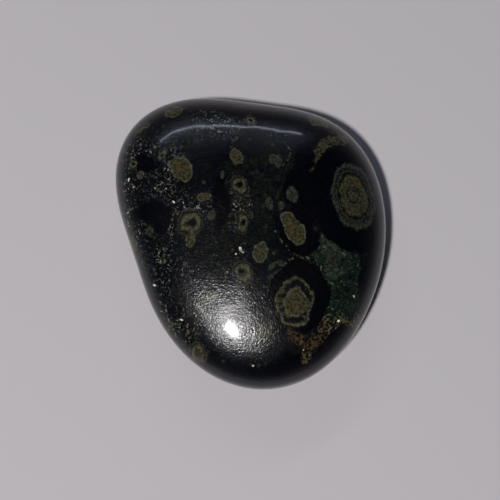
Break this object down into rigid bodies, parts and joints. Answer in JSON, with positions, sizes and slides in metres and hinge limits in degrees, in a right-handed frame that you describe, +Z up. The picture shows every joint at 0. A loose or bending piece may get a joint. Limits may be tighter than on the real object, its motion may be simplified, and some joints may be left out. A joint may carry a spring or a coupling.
{
  "type": "kambaba jasper pebble",
  "caption": "Polished rounded-triangular pebble of dark green and black orbicular jasper, domed above and below, resting on a small flat spot.",
  "frame": {"origin": "middle of the flat spot that the pebble rests on", "axes": "+Z up through the pebble's thickness, +Y towards the broad end with two blunt corners, +X to the right as seen from the narrow end"},
  "size_m": [0.0512, 0.056, 0.0171],
  "materials": {
    "polished_jasper": "tumbled to a soft gloss; near-black matrix with olive ringed orbs, a sea-green patch, rust stains and pale specks"
  },
  "bodies": {
    "root": {"pebble": "polished_jasper"}
  },
  "joints": []
}
